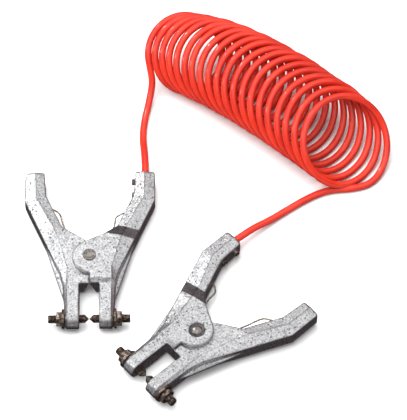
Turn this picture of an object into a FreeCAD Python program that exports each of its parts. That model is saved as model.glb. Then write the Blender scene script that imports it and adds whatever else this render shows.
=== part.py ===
"""Static-grounding lead: two identical spring hand clamps joined by one coiled cable.

Each clamp is built once in its own frame and placed twice, the second time
turned over.  Clamp frame: origin on the pivot axis at mid thickness, +Y
towards the handles, X across the jaws, Z along the pivot.  The cable half
(a fork with two ears) is on +X and the plain half (its tongue) is on -X.
Everything is in millimetres.
"""
import FreeCAD, Part
import math
import os
from FreeCAD import Placement, Rotation, Vector

# ---------------------------------------------------------------- castings
HANDLE_REACH = 93.6        # pivot axis to the end of the handles
JAW_LENGTH = 61.8          # pivot axis to the contact screws' axis
HANDLE_SPREAD = 103.0      # between the centrelines of the two handle ends
HANDLE_WIDTH = 18.0        # across a handle, seen along the pivot
GRIP_LENGTH = 31.6         # straight end of a handle, down to its bend
JAW_GAP = 18.4             # between the inner faces of the legs
LEG_WIDTH = 13.4           # across a leg, seen along the pivot
LEG_FACET = 2.8            # width of the sloping outer facet of a leg
SHOULDER_Y = -17.0         # where the outer edge turns from handle to leg
SHOULDER_OVERHANG = 3.9    # how far the shoulder stands out past the leg
WEB_OUTER = (25.5, 33.0)   # top edge of the web, where it meets the handle
WEB_INNER = (4.7, 19.1)    # top edge of the tongue's web, at its round end
RAMP_TOP = (33.2, 31.3)    # ridge where the handle starts to rise to the ear
RAMP_FOOT = (29.1, 20.7)   # ridge where that rise ends
RAMP_FOOT_INNER = 14.0     # x of the rise's end on the web's top edge
CROSSBAR_BOTTOM = -28.6    # lower face of the cross-bar
CROSSBAR_BEVEL = 3.4       # height of the bevel above that face
HALVES_GAP = 0.4           # between the two cross-bars on the centreline
BODY_HALF = 8.3            # half thickness of the legs and cross-bars
RIDGE_HALF = 8.8           # half thickness at the ridge along a handle
EDGE_HALF = 6.8            # half thickness at the outer edge
INNER_HALF = 7.6           # half thickness at a handle's inner edge
RIDGE_SHIFT = 0.5          # from a handle's centreline in to its ridge
BEND_DROP = 0.5            # outer corner of a handle's bend, under BEND_Y
BEND_RIDGE = (1.5, 2.5)    # its ridge, in from the centreline and over BEND_Y
BEND_INNER = (1.5, 6.0)    # its inner corner, in from the edge and over BEND_Y
RAMP_OUTER_DROP = 2.6      # fall of the ramp's two ridges towards the outer edge
SHOULDER_RIDGE = (0.6, 5.0)   # ridge at the shoulder, past the leg's and over SHOULDER_Y
SHOULDER_INNER_RISE = 9.0  # inner end of that section, over SHOULDER_Y
RAISED_EDGE_DROP = 0.5     # outer edge beside the pivot, under the raised face
BEVEL_OUTER = (1.7, 1.8)   # outer end of the bevel's top, past the leg and under it
BEVEL_RIDGE = 0.5          # ridge there, past the leg's
LEG_TOP_OUTER = 1.2        # how much further out a leg starts than it ends
LEG_TOP_RIDGE = 0.4        # the same for its ridge
LEG_OVERLAP = 2.0          # how far a leg reaches into the cross-bar
RIB_FOOT = 0.5             # foot of the rib, past the leg's outer face
RIB_DEPTH = 1.0            # how far the rib reaches in behind the leg's ridge
NECK_DROP = 2.0            # start of the tongue's web, inside its round end
BOSS_WALL = 5.2            # round end of a leg, outside the screw
RIB_TOP = 19.0
RIB_BOTTOM = -43.5
RIB_HALF = 1.6             # half thickness of the rib in the outer corner
END_RADIUS = 2.2           # rounding of a handle's end

# ------------------------------------------------------------------- pivot
EAR_RADIUS = 17.5          # round end of the fork's two ears
EAR_CENTRE = (2.0, -1.4)   # centre of that round end
EAR_TOP_ANGLE = 25.6       # slope of an ear's straight top edge
EAR_THICKNESS = 3.4
EAR_CLEARANCE = 0.3        # between an ear and the tongue, per side
TONGUE_HALF = 7.5          # half thickness of the tongue
TONGUE_RADIUS = 16.0       # round end of the tongue
TONGUE_CLEARANCE = 1.0     # room round the tongue inside the fork
SWEEP_CLEARANCE = 1.0      # room round the ears on the tongue's faces
OPENING_ANGLE = 26.0       # travel of the plain half, in degrees
STOP_MARGIN = 2.0          # travel left before the halves would meet
PIN_RADIUS = 4.0
PIN_FIT = 0.05             # radial running clearance on the pin
HEAD_RIM = 2.1             # how far the rivet's head stands out past the pin
HEAD_HEIGHT = 1.2
DIMPLE_MARGIN = 1.1        # from the dimple out to the pin's radius
DIMPLE_DEPTH = 0.8
DOME_RIM = 0.9             # how far the peened end stands out, in its recess
DOME_HEIGHT = 1.7
RECESS_RIM = 2.1           # room round the peened end
RECESS_DEPTH = 1.1

# ------------------------------------------------------------------ spring
WIRE_RADIUS = 0.8
WIRE_GAP = 0.1             # between neighbouring turns
FULL_TURNS = 4             # whole turns of the coil, before the legs' part turn
SLEEVE_WALL = 1.2
SLEEVE_SIDE_GAP = 0.15
SPRING_ROOM = 0.85         # between the sleeve and the coil
SPRING_SIDE_GAP = 0.3
SPRING_POCKET_RADIUS = 18.5
LEG_START = (33.0, 2.6)    # y where both legs first bend, and gap to the handle
CABLE_LEG_BENDS = [(42.0, 6.2), (46.6, 6.2), (49.6, 1.0)]   # the same for the further bends
PLAIN_LEG_BENDS = [(50.5, 6.6), (56.6, 6.6), (60.0, 1.0)]
LEG_CHANNEL = 2.6          # half width of a spring leg's channel

# --------------------------------------------------------------- fasteners
SCREW_RADIUS = 4.0         # M8 contact screw
SCREW_FIT = 0.05
SCREW_PROUD = 7.6          # past the lock nut
TIP_GAP = 0.2              # centreline to the point of a contact screw
TIP_LENGTH = 3.9
TIP_FLAT = 0.3
NUT_WALL = 2.5             # from the thread to the middle of a flat
NUT_THICKNESS = 4.9
NUT_CHAMFER = 0.8
WASHER_RIM = 5.2           # from the screw's thread out to the washer's edge
WASHER_THICKNESS = 2.2
WASHER_FIT = 0.4           # between the screw and the washer's bore
WASHER_SEAT_ROOM = 0.6     # round a washer, in its faced seat on the leg
SET_SCREW_RADIUS = 3.0     # M6 set screw
SET_SCREW_PROUD = 3.6
SET_SCREW_KEY = 3.0        # hexagon socket, across flats
SET_SCREW_KEY_DEPTH = 3.0
SET_SCREW_FIRST = 7.4      # from the handle's end to the first set screw
SET_SCREW_SPACING = 15.0

# ------------------------------------------------------------------- cable
CABLE_RADIUS = 3.3
CABLE_BORE_FIT = 0.35
CABLE_BORE_DEPTH = 32.0
CABLE_END_LENGTH = 29.0
CABLE_END_SQUEEZE = 0.1    # the end is a little slimmer under the screws

CABLE_FIRST_RUN = 21.0     # first run out of a handle, in line with it
CABLE_FIRST_DROP = 1.6     # how far that run sinks

# Route of the cable from the end of its first run to the coil.
LEFT_ROUTE = [(-26.2, 169.5, 4.2), (-24.8, 191.0, 3.8), (-20.4, 210.6, 6.6), (-16.8, 225.6, 18.2)]
RIGHT_ROUTE = [(93.2, 77.2, 4.6), (112.4, 91.4, 3.7), (131.0, 104.0, 3.6), (150.0, 112.4, 3.6),
               (170.6, 113.2, 3.6), (187.8, 119.9, 3.9)]
# The coil lies on the floor: its middle line, seen from above, is a quadratic
# curve through three control places, and the radius follows the same curve.
COIL_PLACES = [(11.5, 253.5), (70.5, 235.2), (167.5, 142.8)]
COIL_OUTER_RADII = [39.6, 48.1, 47.4]
COIL_BEARINGS = (-58.0, -47.0)   # which way the turns face, at the two ends
COIL_LEAN = 46.0                 # how far the turns lean back, in degrees
COIL_SECTIONS = 7
ARC_SHARE = 0.45                 # part of a run that each corner's arc takes

# ------------------------------------------------- places of the two clamps
LEFT_PIVOT = (-73.0, 28.4)
LEFT_TURN = 0.9
RIGHT_PIVOT = (25.8, -51.5)
RIGHT_TURN = -47.6
LEFT_RELIEF = 5.6          # bevel at the lower back corner of the cross-bars
RIGHT_RELIEF = 0.0

# ------------------------------------------ sizes that several pieces share
HALF_SPREAD = HANDLE_SPREAD / 2
BOSS_RADIUS = SCREW_RADIUS + BOSS_WALL
WASHER_RADIUS = SCREW_RADIUS + WASHER_RIM
WASHER_BORE = SCREW_RADIUS + WASHER_FIT
NUT_ACROSS_FLATS = 2 * (SCREW_RADIUS + NUT_WALL)
HEAD_RADIUS = PIN_RADIUS + HEAD_RIM
DIMPLE_RADIUS = PIN_RADIUS - DIMPLE_MARGIN
DOME_RADIUS = PIN_RADIUS + DOME_RIM
RECESS_RADIUS = DOME_RADIUS + RECESS_RIM
BEND_Y = HANDLE_REACH - GRIP_LENGTH
LEG_INNER = JAW_GAP / 2
LEG_OUTER = LEG_INNER + LEG_WIDTH
LEG_RIDGE = LEG_OUTER - LEG_FACET
EAR_INNER = TONGUE_HALF + EAR_CLEARANCE
EAR_OUTER = EAR_INNER + EAR_THICKNESS
PIN_BORE = PIN_RADIUS + PIN_FIT
SLEEVE_RADIUS = PIN_BORE + SLEEVE_WALL
COIL_RADIUS = SLEEVE_RADIUS + SPRING_ROOM + WIRE_RADIUS
COIL_PITCH = 2 * WIRE_RADIUS + WIRE_GAP
LEFT_HEIGHT = EAR_OUTER - RECESS_DEPTH + DOME_HEIGHT
RIGHT_HEIGHT = EAR_OUTER + HEAD_HEIGHT
INNER_BEND = (HALF_SPREAD - HANDLE_WIDTH / 2 - BEND_INNER[0], BEND_Y + BEND_INNER[1])
BEVEL_Y = CROSSBAR_BOTTOM + CROSSBAR_BEVEL
NEAR = HALVES_GAP / 2
TONGUE_NECK = (NEAR, TONGUE_RADIUS - NECK_DROP)

X_AXIS = Vector(1, 0, 0)
Y_AXIS = Vector(0, 1, 0)
Z_AXIS = Vector(0, 0, 1)


# ------------------------------------------------------------ basic shapes
def polygon(points):
    """Closed wire through a list of vectors."""
    return Part.makePolygon(points + points[:1])


def prism(outline, low, high):
    """Upright prism on a closed outline of (x, y) points."""
    face = Part.Face(polygon([Vector(x, y, low) for x, y in outline]))
    return face.extrude(Vector(0, 0, high - low))


def disc(radius, low, high, centre=(0.0, 0.0)):
    """Round plate, or hole tool, along Z."""
    return Part.makeCylinder(radius, high - low, Vector(centre[0], centre[1], low), Z_AXIS)


def rod_x(radius, start, end, y, z=0.0):
    """Cylinder along X between two x values."""
    return Part.makeCylinder(radius, end - start, Vector(start, y, z), X_AXIS)


def hexagon_rod(across_flats, start, end, y):
    """Hexagonal prism along X between two x values."""
    corner = across_flats / math.sqrt(3)
    angles = [math.radians(60 * index) for index in range(6)]
    points = [Vector(start, y + corner * math.cos(a), corner * math.sin(a)) for a in angles]
    return Part.Face(polygon(points)).extrude(Vector(end - start, 0, 0))


def mirrored(shape):
    """The same shape on the other side of the clamp's centre plane."""
    return shape.mirror(Vector(0, 0, 0), X_AXIS)


def mirrored_point(point):
    """The same (x, y) point on the other side of the clamp's centre plane."""
    return (-point[0], point[1])


def turned_point(point, degrees):
    """An (x, y) point turned about the pivot."""
    angle = math.radians(degrees)
    x, y = point
    return (x * math.cos(angle) - y * math.sin(angle), x * math.sin(angle) + y * math.cos(angle))


def round_rod(points, radius):
    """Bent round rod: straight runs with a ball at each inner corner."""
    solid = None
    for start, end in zip(points, points[1:]):
        run = Part.makeCylinder(radius, (end - start).Length, start, end - start)
        solid = run if solid is None else solid.fuse([run, Part.makeSphere(radius, start)])
    return solid


# -------------------------------------------------------- casting outlines
def outer_edge(y):
    """Point at height y on the straight outer edge, from bend to shoulder."""
    top = (HALF_SPREAD + HANDLE_WIDTH / 2, BEND_Y - BEND_DROP)
    foot = (LEG_OUTER + SHOULDER_OVERHANG, SHOULDER_Y)
    share = (y - foot[1]) / (top[1] - foot[1])
    return (foot[0] + share * (top[0] - foot[0]), y)


def inner_edge(y):
    """Point at height y on the handle's inner edge, from bend to web."""
    share = (y - WEB_OUTER[1]) / (INNER_BEND[1] - WEB_OUTER[1])
    return (WEB_OUTER[0] + share * (INNER_BEND[0] - WEB_OUTER[0]), y)


def ear_top_start():
    """Where an ear's straight top edge leaves its round end."""
    slope = math.radians(EAR_TOP_ANGLE)
    return (EAR_CENTRE[0] - EAR_RADIUS * math.sin(slope),
            EAR_CENTRE[1] + EAR_RADIUS * math.cos(slope))


def ear_top_point():
    """Where the fork's ramp ends on the ear's straight top edge."""
    x, y = ear_top_start()
    return (RAMP_FOOT_INNER, y + (RAMP_FOOT_INNER - x) * math.tan(math.radians(EAR_TOP_ANGLE)))


def web_top_point():
    """Where the plain half's ramp ends on the web's top edge."""
    share = (RAMP_FOOT_INNER - WEB_INNER[0]) / (WEB_OUTER[0] - WEB_INNER[0])
    return (RAMP_FOOT_INNER, WEB_INNER[1] + share * (WEB_OUTER[1] - WEB_INNER[1]))


def section(places, halves):
    """Hexagonal section from its (outer, ridge, inner) places and half thicknesses."""
    upper = [Vector(place[0], place[1], half) for place, half in zip(places, halves)]
    lower = [Vector(point.x, point.y, -point.z) for point in reversed(upper)]
    return polygon(upper + lower)


def shoulder_ridge():
    """Place of the ridge at the shoulder."""
    return (LEG_RIDGE + SHOULDER_RIDGE[0], SHOULDER_Y + SHOULDER_RIDGE[1])


def bar(ramp_foot_inner, raised_half):
    """Handle, ramp, shoulder and cross-bar of one half, as one faceted bar.

    The bar rises from the handle to raised_half beside the pivot, and its
    bevel brings it down again above the cross-bar's lower face.
    """
    shoulder = (LEG_OUTER + SHOULDER_OVERHANG, SHOULDER_Y)
    grip = (EDGE_HALF, RIDGE_HALF, INNER_HALF)
    raised_edge = min(BODY_HALF, raised_half - RAISED_EDGE_DROP)
    end_places = [(HALF_SPREAD + offset, HANDLE_REACH)
                  for offset in (HANDLE_WIDTH / 2, -RIDGE_SHIFT, -HANDLE_WIDTH / 2)]
    bend_ridge = (HALF_SPREAD - BEND_RIDGE[0], BEND_Y + BEND_RIDGE[1])
    bend_places = [outer_edge(BEND_Y - BEND_DROP), bend_ridge, INNER_BEND]
    top_places = [outer_edge(RAMP_TOP[1] - RAMP_OUTER_DROP), RAMP_TOP, WEB_OUTER]
    foot_places = [outer_edge(RAMP_FOOT[1] - RAMP_OUTER_DROP), RAMP_FOOT, ramp_foot_inner]
    shoulder_places = [shoulder, shoulder_ridge(), (NEAR, SHOULDER_Y + SHOULDER_INNER_RISE)]
    bevel_outer = (LEG_OUTER + BEVEL_OUTER[0], BEVEL_Y - BEVEL_OUTER[1])
    bevel_places = [bevel_outer, (LEG_RIDGE + BEVEL_RIDGE, BEVEL_Y), (NEAR, BEVEL_Y)]
    low_places = [(LEG_OUTER + LEG_TOP_OUTER, CROSSBAR_BOTTOM),
                  (LEG_RIDGE + LEG_TOP_RIDGE, CROSSBAR_BOTTOM), (NEAR, CROSSBAR_BOTTOM)]
    raised = (raised_edge, raised_half, raised_half)
    above_bar = (raised_edge, max(raised_half, BODY_HALF), max(raised_half, BODY_HALF))
    wires = [
        section(end_places, grip),
        section(bend_places, grip),
        section(top_places, (EDGE_HALF, RIDGE_HALF, min(BODY_HALF, raised_half))),
        section(foot_places, raised),
        section(shoulder_places, raised),
        section(bevel_places, above_bar),
        section(low_places, (EDGE_HALF, BODY_HALF, BODY_HALF)),
    ]
    return rounded_end(Part.makeLoft(wires, True, True))


def rounded_end(solid):
    """Round the four upright and six face edges at a handle's end."""
    edges = [edge for edge in solid.Edges
             if min(vertex.Y for vertex in edge.Vertexes) > HANDLE_REACH - 0.01]
    return solid.makeFillet(END_RADIUS, edges)


def leg():
    """Straight leg under the cross-bar, with its round end about the screw."""
    top = CROSSBAR_BOTTOM + LEG_OVERLAP
    top_places = [(LEG_OUTER + LEG_TOP_OUTER, top), (LEG_RIDGE + LEG_TOP_RIDGE, top),
                  (LEG_INNER, top)]
    end_places = [(x, -JAW_LENGTH) for x in (LEG_OUTER, LEG_RIDGE, LEG_INNER)]
    wires = [section(top_places, (EDGE_HALF, BODY_HALF, BODY_HALF)),
             section(end_places, (EDGE_HALF, BOSS_RADIUS, BOSS_RADIUS))]
    boss = rod_x(BOSS_RADIUS, LEG_INNER, LEG_OUTER, -JAW_LENGTH)
    rim = [edge for edge in boss.Edges if edge.BoundBox.XMin > LEG_OUTER - 0.01]
    boss = boss.makeChamfer(BOSS_RADIUS - EDGE_HALF, rim)
    return Part.makeLoft(wires, True, True).fuse(boss)


def rib():
    """Thin rib that fills the outer corner between handle and leg."""
    deep = LEG_RIDGE - RIB_DEPTH
    outline = [outer_edge(RIB_TOP), (LEG_OUTER + RIB_FOOT, RIB_BOTTOM), (deep, RIB_BOTTOM),
               (deep, CROSSBAR_BOTTOM), (deep, SHOULDER_Y), RAMP_FOOT]
    return prism(outline, -RIB_HALF, RIB_HALF)


def end_relief(depth):
    """Bevel at the centreline ends of both cross-bars, growing towards the back."""
    corners = [Vector(0, 0, BODY_HALF), Vector(depth, 0, -BODY_HALF),
               Vector(depth, 0, -EAR_OUTER - 1), Vector(-depth, 0, -EAR_OUTER - 1),
               Vector(-depth, 0, -BODY_HALF)]
    top = -TONGUE_RADIUS - TONGUE_CLEARANCE
    wedge = Part.Face(polygon(corners)).extrude(Vector(0, top - 2 * CROSSBAR_BOTTOM, 0))
    wedge.translate(Vector(0, 2 * CROSSBAR_BOTTOM, 0))
    return wedge


def leg_and_screw_bore(shape):
    """Join a leg and a rib to a half, and cut its screw's bore and washer's seat."""
    whole = shape.fuse([leg(), rib()])
    seat = rod_x(WASHER_RADIUS + WASHER_SEAT_ROOM, LEG_OUTER, LEG_OUTER + 5, -JAW_LENGTH)
    return whole.cut([rod_x(SCREW_RADIUS + SCREW_FIT, 0, LEG_OUTER + 5, -JAW_LENGTH), seat])


# --------------------------------------------------------------- castings
def tongue_web():
    """Outline of the tongue's web, from its round end to its handle (on +X)."""
    low = CROSSBAR_BOTTOM + LEG_OVERLAP
    return [WEB_OUTER, WEB_INNER, TONGUE_NECK, (NEAR, low), (LEG_INNER, low),
            (LEG_RIDGE, SHOULDER_Y), (LEG_RIDGE, 0), RAMP_FOOT]


def ear_sweep_radius():
    """Reach of the ears from the pivot axis towards the plain half, with clearance."""
    return EAR_RADIUS - EAR_CENTRE[1] + SWEEP_CLEARANCE


def plain_half(relief):
    """Casting with the tongue, on -X once mirrored."""
    body = bar(web_top_point(), TONGUE_HALF)
    body = body.fuse([prism(tongue_web(), -TONGUE_HALF, TONGUE_HALF),
                      disc(TONGUE_RADIUS, -TONGUE_HALF, TONGUE_HALF)])
    body = leg_and_screw_bore(body)
    sweep = ear_sweep_radius()
    for low, high in ((TONGUE_HALF, EAR_OUTER), (-EAR_OUTER, -TONGUE_HALF)):
        body = body.cut(disc(sweep, low, high))
    body = body.cut([spring_pocket(), disc(PIN_BORE, -EAR_OUTER, EAR_OUTER)])
    body = body.cut(spring_channel(leg_route(PLAIN_LEG_BENDS, 1, -1)))
    if relief > 0:
        body = body.cut(end_relief(relief))
    return mirrored(body.removeSplitter())


def ear_plate():
    """Outline of the fork's ears beside their round end."""
    return [ear_top_start(), ear_top_point(), RAMP_FOOT, shoulder_ridge(),
            (LEG_RIDGE + BEVEL_RIDGE, BEVEL_Y), (NEAR, BEVEL_Y), (NEAR, 0), EAR_CENTRE]


def tongue_room():
    """Space between the ears that the tongue turns in, up to its stop face."""
    far = -2 * EAR_RADIUS
    low = 2 * CROSSBAR_BOTTOM
    stop_turn = -(OPENING_ANGLE + STOP_MARGIN)
    stop_neck, stop_inner, stop_outer = (turned_point(mirrored_point(point), stop_turn)
                                         for point in (TONGUE_NECK, WEB_INNER, WEB_OUTER))
    swept = [(0, 0), stop_neck, stop_inner, stop_outer, (far, stop_outer[1]), (far, 0)]
    beside = [(NEAR, 0), (NEAR, low), (far, low), (far, 0)]
    room = disc(TONGUE_RADIUS + TONGUE_CLEARANCE, -EAR_INNER, EAR_INNER)
    return room.fuse([prism(swept, -EAR_INNER, EAR_INNER), prism(beside, -EAR_INNER, EAR_INNER)])


def cable_half(relief):
    """Casting with the two ears and the cable's bore, on +X."""
    body = bar(ear_top_point(), EAR_OUTER)
    body = body.fuse([prism(ear_plate(), -EAR_OUTER, EAR_OUTER),
                      disc(EAR_RADIUS, -EAR_OUTER, EAR_OUTER, EAR_CENTRE)])
    body = leg_and_screw_bore(body)
    recess = disc(RECESS_RADIUS, -EAR_OUTER - 1, RECESS_DEPTH - EAR_OUTER)
    body = body.cut([tongue_room(), disc(PIN_RADIUS, -EAR_OUTER, EAR_OUTER), recess])
    body = body.cut(spring_channel(leg_route(CABLE_LEG_BENDS, 1, 1)))
    bore = Part.makeCylinder(CABLE_RADIUS + CABLE_BORE_FIT, CABLE_BORE_DEPTH + 1,
                             Vector(HALF_SPREAD, HANDLE_REACH - CABLE_BORE_DEPTH, 0), Y_AXIS)
    body = body.cut([bore] + [rod_x(SET_SCREW_RADIUS, HALF_SPREAD - HANDLE_WIDTH, HALF_SPREAD, y)
                              for y in set_screw_places()])
    if relief > 0:
        body = body.cut(end_relief(relief))
    return body.removeSplitter()


# ------------------------------------------------------ pivot and spring
def pivot_rivet():
    """Pin with a flat, dimpled head on +Z and a peened dome on -Z."""
    head = disc(HEAD_RADIUS, EAR_OUTER, EAR_OUTER + HEAD_HEIGHT)
    rim = [edge for edge in head.Edges if edge.BoundBox.ZMin > EAR_OUTER + HEAD_HEIGHT - 0.01]
    head = head.makeChamfer(HEAD_HEIGHT / 3, rim)
    dimple = disc(DIMPLE_RADIUS, EAR_OUTER + HEAD_HEIGHT - DIMPLE_DEPTH, EAR_OUTER + HEAD_HEIGHT)
    dome_base = RECESS_DEPTH - EAR_OUTER
    ball_radius = (DOME_RADIUS ** 2 + DOME_HEIGHT ** 2) / (2 * DOME_HEIGHT)
    ball = Part.makeSphere(ball_radius, Vector(0, 0, dome_base - DOME_HEIGHT + ball_radius))
    dome = ball.common(disc(DOME_RADIUS + 1, dome_base - DOME_HEIGHT - 1, dome_base))
    shank = disc(PIN_RADIUS, dome_base, EAR_OUTER)
    return shank.fuse([head.cut(dimple), dome]).removeSplitter()


def coil_turns():
    """Start angle and total turns of the coil, so that both legs leave on a tangent."""
    target = beside_handle(*LEG_START)
    bearing = math.degrees(math.atan2(target[1], target[0]))
    spread = math.degrees(math.acos(COIL_RADIUS / math.hypot(*target)))
    leave = bearing - spread
    start = 180 - leave
    return start, FULL_TURNS + (leave + 360 - start) / 360


def spring_half_length():
    """Half the distance between the middles of the coil's two end turns."""
    return coil_turns()[1] * COIL_PITCH / 2


def spring_pocket():
    """Slot in the tongue that the spring's coil sits in."""
    half = spring_half_length() + WIRE_RADIUS + SPRING_SIDE_GAP
    return disc(SPRING_POCKET_RADIUS, -half, half)


def spring_sleeve():
    """Tube on the pin that fills the spring's pocket and keeps the coil centred."""
    half = spring_half_length() + WIRE_RADIUS + SPRING_SIDE_GAP - SLEEVE_SIDE_GAP
    return disc(SLEEVE_RADIUS, -half, half).cut(disc(PIN_BORE, -half, half))


def beside_handle(y, gap):
    """Point at height y, a gap away from the cable half's handle."""
    return (inner_edge(y)[0] - gap, y)


def leg_route(bends, side_x, side_z):
    """A spring leg from the coil's tangent point to the handle on side_x."""
    leave = math.radians(180 - coil_turns()[0])
    start = (COIL_RADIUS * math.cos(leave), COIL_RADIUS * math.sin(leave))
    height = side_z * spring_half_length()
    points = [start] + [beside_handle(*bend) for bend in [LEG_START] + bends]
    return [Vector(side_x * x, y, height) for x, y in points]


def spring_channel(route):
    """Straight slot that lets a spring leg out through the web."""
    start, end = route[0], route[1]
    along = (end - start).normalize()
    across = along.cross(Z_AXIS) * LEG_CHANNEL
    low = Vector(0, 0, -WIRE_RADIUS - SPRING_SIDE_GAP)
    far = end + along * 2 * LEG_CHANNEL
    corners = [start + across, far + across, far - across, start - across]
    face = Part.Face(polygon([corner + low for corner in corners]))
    return face.extrude(low * -2)


def torsion_spring():
    """Close-wound coil with a bent leg at each end."""
    start_angle, turns = coil_turns()
    height = turns * COIL_PITCH
    helix = Part.makeHelix(COIL_PITCH, height, COIL_RADIUS)
    profile = Part.Wire(Part.makeCircle(WIRE_RADIUS, Vector(COIL_RADIUS, 0, 0), Y_AXIS))
    coil = Part.Wire(helix.Edges).makePipeShell([profile], True, True)
    coil.rotate(Vector(0, 0, 0), Z_AXIS, start_angle)
    coil.translate(Vector(0, 0, -height / 2))
    routes = (leg_route(CABLE_LEG_BENDS, 1, 1), leg_route(PLAIN_LEG_BENDS, -1, -1))
    return coil.fuse([round_rod(route, WIRE_RADIUS) for route in routes])


# -------------------------------------------------------------- fasteners
def washer():
    """Plain washer against the outer face of a leg."""
    end = LEG_OUTER + WASHER_THICKNESS
    ring = rod_x(WASHER_RADIUS, LEG_OUTER, end, -JAW_LENGTH)
    return ring.cut(rod_x(WASHER_BORE, LEG_OUTER, end, -JAW_LENGTH))


def lock_nut():
    """Hexagon nut against the washer."""
    start = LEG_OUTER + WASHER_THICKNESS
    end = start + NUT_THICKNESS
    blank = rod_x(NUT_ACROSS_FLATS / math.sqrt(3), start, end, -JAW_LENGTH)
    rims = [edge for edge in blank.Edges if edge.BoundBox.XLength < 0.01]
    nut = hexagon_rod(NUT_ACROSS_FLATS, start, end, -JAW_LENGTH)
    nut = nut.common(blank.makeChamfer(NUT_CHAMFER, rims))
    return nut.cut(rod_x(SCREW_RADIUS + SCREW_FIT, start, end, -JAW_LENGTH))


def contact_screw():
    """Pointed screw through the leg, washer and nut."""
    shank = TIP_GAP + TIP_LENGTH
    tail = LEG_OUTER + WASHER_THICKNESS + NUT_THICKNESS + SCREW_PROUD
    body = rod_x(SCREW_RADIUS, shank, tail, -JAW_LENGTH)
    rim = [edge for edge in body.Edges if edge.BoundBox.XMin > tail - 0.01]
    body = body.makeChamfer(SCREW_RADIUS / 6, rim)
    tip = Part.makeCone(TIP_FLAT, SCREW_RADIUS, TIP_LENGTH, Vector(TIP_GAP, -JAW_LENGTH, 0), X_AXIS)
    return body.fuse(tip)


def set_screw_places():
    """Distances from the pivot of the cable's two set screws."""
    first = HANDLE_REACH - SET_SCREW_FIRST
    return [first, first - SET_SCREW_SPACING]


def set_screws():
    """The two screws that clamp the cable, from the handle's inner side."""
    end = HALF_SPREAD - CABLE_RADIUS + CABLE_END_SQUEEZE
    head = HALF_SPREAD - HANDLE_WIDTH / 2 - SET_SCREW_PROUD
    screws = []
    for y in set_screw_places():
        body = rod_x(SET_SCREW_RADIUS, head, end, y)
        rims = [edge for edge in body.Edges if edge.BoundBox.XLength < 0.01]
        body = body.makeChamfer(SET_SCREW_RADIUS / 6, rims)
        screws.append(body.cut(hexagon_rod(SET_SCREW_KEY, head, head + SET_SCREW_KEY_DEPTH, y)))
    return Part.makeCompound(screws)


def cable_end():
    """End of the cable inside the handle's bore."""
    return Part.makeCylinder(CABLE_RADIUS - CABLE_END_SQUEEZE, CABLE_END_LENGTH,
                             Vector(HALF_SPREAD, HANDLE_REACH - CABLE_END_LENGTH, 0), Y_AXIS)


# ------------------------------------------------------- cable and its coil
def cable_tube(points):
    """Round tube along straight runs joined by tangent arcs."""
    points = [Vector(*point) for point in points]
    edges = []
    here = points[0]
    for before, corner, after in zip(points, points[1:], points[2:]):
        back = (before - corner)
        ahead = (after - corner)
        reach = ARC_SHARE * min(back.Length, ahead.Length)
        half_turn = (math.pi - back.getAngle(ahead)) / 2
        radius = reach / math.tan(half_turn)
        print(f"cable arc radius {radius:.1f} = {radius / CABLE_RADIUS / 2:.1f} diameters")
        start = corner + back.normalize() * reach
        end = corner + ahead.normalize() * reach
        middle_way = (back + ahead).normalize()
        middle = corner + middle_way * (radius / math.cos(half_turn) - radius)
        edges.append(Part.LineSegment(here, start).toShape())
        edges.append(Part.Arc(start, middle, end).toShape())
        here = end
    edges.append(Part.LineSegment(here, points[-1]).toShape())
    path = Part.Wire(edges)
    first = points[1] - points[0]
    profile = Part.Wire(Part.makeCircle(CABLE_RADIUS, points[0], first))
    tube = path.makePipeShell([profile], True, True)
    expected = math.pi * CABLE_RADIUS ** 2 * path.Length
    print(f"cable run {path.Length:.1f} long, volume {tube.Volume / expected:.4f} of section x length")
    return tube


def along_coil(values, share):
    """Value of a quadratic curve through three controls, at a share of its way."""
    start, control, end = values
    return (1 - share) ** 2 * start + 2 * share * (1 - share) * control + share ** 2 * end


def coil_ring(share):
    """Outer circle of the coil, at a share of its way, leaning back on the floor."""
    x, y = (along_coil([place[axis] for place in COIL_PLACES], share) for axis in (0, 1))
    radius = along_coil(COIL_OUTER_RADII, share)
    lean = math.radians(COIL_LEAN)
    bearing = math.radians(COIL_BEARINGS[0] + share * (COIL_BEARINGS[1] - COIL_BEARINGS[0]))
    facing = Vector(math.cos(bearing) * math.cos(lean), math.sin(bearing) * math.cos(lean),
                    math.sin(lean))
    level = Z_AXIS.cross(facing).normalize()
    height = (radius - CABLE_RADIUS) * math.cos(lean) + CABLE_RADIUS
    circle = Part.makeCircle(radius)
    circle.Placement = Placement(Vector(x, y, height), Rotation(level, facing.cross(level), facing))
    return Part.Wire(circle)


def cable_coil():
    """The coiled stretch of the cable, as one solid of its outer size."""
    shares = [index / (COIL_SECTIONS - 1) for index in range(COIL_SECTIONS)]
    return Part.makeLoft([coil_ring(share) for share in shares], True, False)


def first_run(place):
    """Ends of the cable's first run out of a placed clamp's handle."""
    leaving = place.multVec(Vector(HALF_SPREAD, HANDLE_REACH, 0))
    settled = place.multVec(Vector(HALF_SPREAD, HANDLE_REACH + CABLE_FIRST_RUN, 0))
    return [leaving, settled - Vector(0, 0, CABLE_FIRST_DROP)]


# --------------------------------------------------------------- assembly
def clamp(relief):
    """All the pieces of one clamp, by name, in the clamp's own frame."""
    return {
        "cable_half": cable_half(relief),
        "plain_half": plain_half(relief),
        "pivot_rivet": pivot_rivet(),
        "spring_sleeve": spring_sleeve(),
        "torsion_spring": torsion_spring(),
        "cable_half_contact_screw": contact_screw(),
        "plain_half_contact_screw": mirrored(contact_screw()),
        "cable_half_lock_nut": lock_nut(),
        "plain_half_lock_nut": mirrored(lock_nut()),
        "cable_half_washer": washer(),
        "plain_half_washer": mirrored(washer()),
        "cable_set_screws": set_screws(),
        "cable_end": cable_end(),
    }


def clamp_place(pivot, height, turn, turned_over):
    """Placement of a clamp on the floor, face up or turned over about its length."""
    over = Rotation(Y_AXIS, 180 if turned_over else 0)
    return Placement(Vector(pivot[0], pivot[1], height), Rotation(Z_AXIS, turn).multiply(over))


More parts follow.
